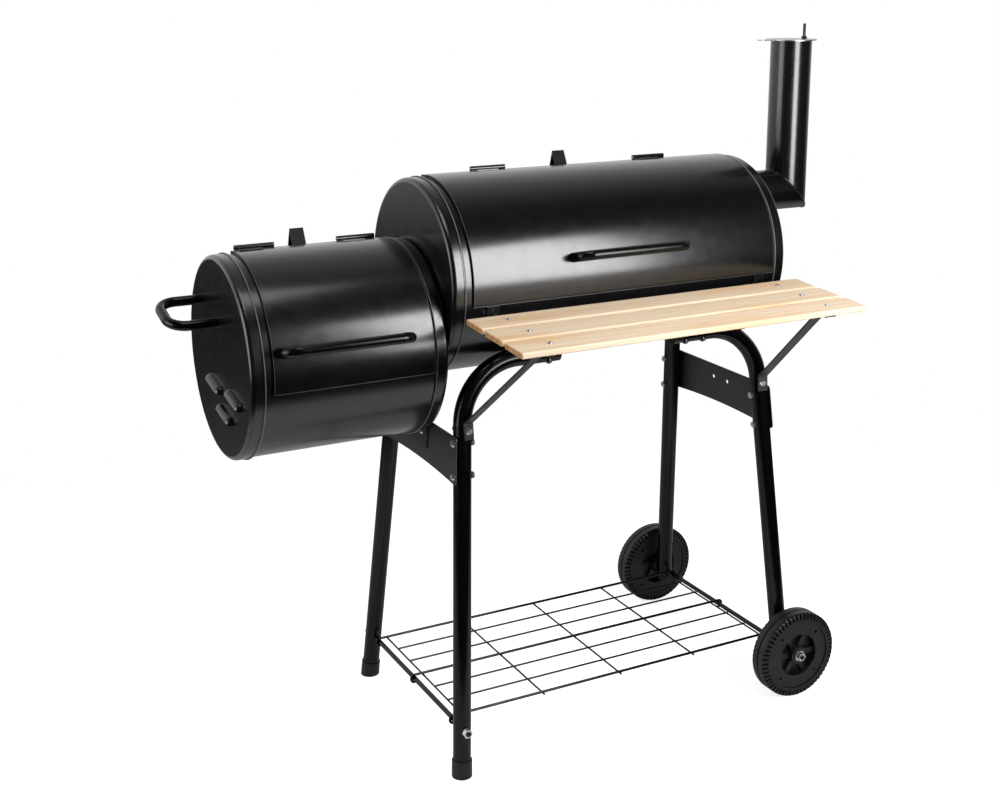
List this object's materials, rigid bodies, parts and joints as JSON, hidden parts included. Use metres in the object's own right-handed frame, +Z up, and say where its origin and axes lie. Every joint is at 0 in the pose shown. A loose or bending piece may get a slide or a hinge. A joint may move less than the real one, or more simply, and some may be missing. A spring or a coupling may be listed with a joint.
{
  "type": "offset smoker",
  "caption": "Charcoal offset smoker: a lidded barrel with a chimney, a lidded side firebox, a slatted front table and a bent-tube frame on feet and wheels with a wire shelf.",
  "frame": {"origin": "on the floor under the middle of the whole smoker's box", "axes": "+X right along the barrel, towards the chimney; +Y to the back; +Z up"},
  "size_m": [1.1325, 0.5881, 1.117],
  "materials": {
    "black_paint": "satin black heat-resistant paint",
    "black_tube": "gloss black paint on tube and wire",
    "grey_sheet": "dark grey satin paint on pressed sheet",
    "damper_steel": "bare steel sheet",
    "zinc": "bright zinc plate",
    "grid_wire": "plated wire",
    "grate_steel": "plain grate steel",
    "board_wood": "oiled softwood with visible grain",
    "black_plastic": "moulded black plastic",
    "tyre_plastic": "matte black moulded tread"
  },
  "bodies": {
    "frame": {"barrel_shell": "black_paint", "barrel_left_cap": "black_paint", "barrel_right_cap": "black_paint", "firebox_shell": "black_paint", "firebox_left_cap": "black_paint", "firebox_right_cap": "black_paint", "chimney": "black_paint", "barrel_ledges": "black_paint", "firebox_ledges": "black_paint", "barrel_shell_leaves": "black_paint", "firebox_shell_leaves": "black_paint", "barrel_bolts": "black_paint", "firebox_side_handle": "black_tube", "front_left_leg": "black_tube", "rear_left_leg": "black_tube", "front_right_leg": "black_tube", "rear_right_leg": "black_tube", "shelf_rod": "black_tube", "wheel_axle": "black_tube", "bottom_shelf": "black_tube", "barrel_lid_stop": "grey_sheet", "firebox_lid_stop": "grey_sheet", "left_side_plate": "grey_sheet", "right_side_plate": "grey_sheet", "firebox_bracket": "grey_sheet", "left_table_arm": "grey_sheet", "right_table_arm": "grey_sheet", "left_table_strut": "grey_sheet", "right_table_strut": "grey_sheet", "side_handle_screws": "zinc", "firebox_joint_bolts": "zinc", "chimney_bolts": "zinc", "damper_bolt": "zinc", "frame_bolts": "zinc", "table_bolts": "zinc", "rod_nuts": "zinc", "hinge_pins": "zinc", "barrel_cooking_grids": "grid_wire", "firebox_cooking_grid": "grid_wire", "barrel_charcoal_grate": "grate_steel", "firebox_charcoal_grate": "grate_steel", "front_table_board": "board_wood", "middle_table_board": "board_wood", "rear_table_board": "board_wood", "leg_end_plugs": "black_plastic", "foot_caps": "black_plastic"},
    "barrel_lid": {"barrel_lid": "black_paint", "barrel_lid_handle": "black_tube", "barrel_handle_screws": "zinc", "barrel_lid_leaves": "black_paint"},
    "firebox_lid": {"firebox_lid": "black_paint", "firebox_lid_handle": "black_tube", "firebox_handle_screws": "zinc", "firebox_lid_leaves": "black_paint"},
    "damper": {"chimney_damper": "damper_steel"},
    "front_wheel": {"front_wheel_hub": "black_plastic", "front_wheel_tyre": "tyre_plastic"},
    "rear_wheel": {"rear_wheel_hub": "black_plastic", "rear_wheel_tyre": "tyre_plastic"}
  },
  "joints": [
    {"name": "barrel_lid_hinge", "type": "hinge", "parent": "frame", "child": "barrel_lid", "pos_m": [0.10825, 0.08609, 0.90216], "axis": [-1, 0, 0], "range_deg": [0, 160]},
    {"name": "firebox_lid_hinge", "type": "hinge", "parent": "frame", "child": "firebox_lid", "pos_m": [-0.34225, 0.09909, 0.80815], "axis": [-1, 0, 0], "range_deg": [0, 160]},
    {"name": "damper_swing", "type": "hinge", "parent": "frame", "child": "damper", "pos_m": [0.55025, 0.05209, 1.0894], "axis": [0, 0, 1], "range_deg": [-170, 170]},
    {"name": "front_wheel_spin", "type": "hinge", "parent": "frame", "child": "front_wheel", "pos_m": [0.41101, -0.16313, 0.075], "axis": [0, 1, 0], "continuous": true},
    {"name": "rear_wheel_spin", "type": "hinge", "parent": "frame", "child": "rear_wheel", "pos_m": [0.41101, 0.26731, 0.075], "axis": [0, 1, 0], "continuous": true}
  ]
}
